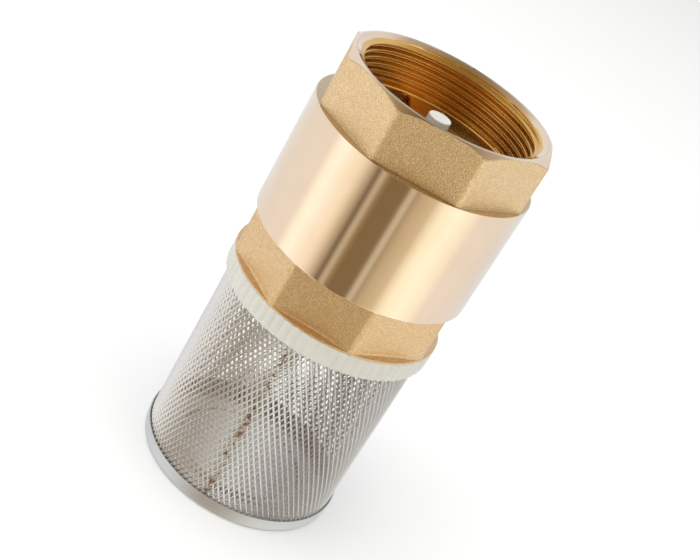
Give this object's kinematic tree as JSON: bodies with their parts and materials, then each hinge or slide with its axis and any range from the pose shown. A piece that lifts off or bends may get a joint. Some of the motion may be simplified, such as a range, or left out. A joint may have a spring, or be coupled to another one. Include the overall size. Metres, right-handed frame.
{
  "type": "foot valve",
  "caption": "Brass spring check valve with a female pipe thread at the outlet, a nylon collar and a stainless mesh strainer, for the foot of a suction pipe.",
  "frame": {"origin": "on the valve's axis, in the plane of the strainer cap's underside", "axes": "+Z along the axis in the direction of flow, from the strainer to the outlet thread; the lower octagon has two flats square to X"},
  "size_m": [0.072, 0.072, 0.1472],
  "materials": {
    "forged_brass_outlet": "blasted flats, turned barrel",
    "forged_brass_inlet": "blasted",
    "nitrile_o_ring": "moulded",
    "acetal_poppet": "moulded",
    "nitrile_seal": "moulded",
    "turned_brass": "turned",
    "stainless_fastener": "bright",
    "spring_wire": "drawn wire",
    "nylon_collar": "moulded, ribbed rim",
    "expanded_stainless": "expanded sheet",
    "pressed_stainless": "satin pressed sheet"
  },
  "bodies": {
    "valve_body": {"outlet_body": "forged_brass_outlet", "inlet_body": "forged_brass_inlet", "body_o_ring": "nitrile_o_ring", "spring": "spring_wire", "strainer_collar": "nylon_collar", "strainer_mesh": "expanded_stainless", "strainer_cap": "pressed_stainless"},
    "poppet": {"poppet": "acetal_poppet", "poppet_seal": "nitrile_seal", "seal_retainer": "turned_brass", "retainer_washer": "stainless_fastener", "retainer_screw": "stainless_fastener"}
  },
  "joints": [
    {"name": "poppet_lift", "type": "slide", "parent": "valve_body", "child": "poppet", "axis": [0, 0, 1], "range_m": [0, 0.01], "stiffness_N_per_m": 360, "springref_m": -0.01, "deforming": ["spring"]}
  ]
}
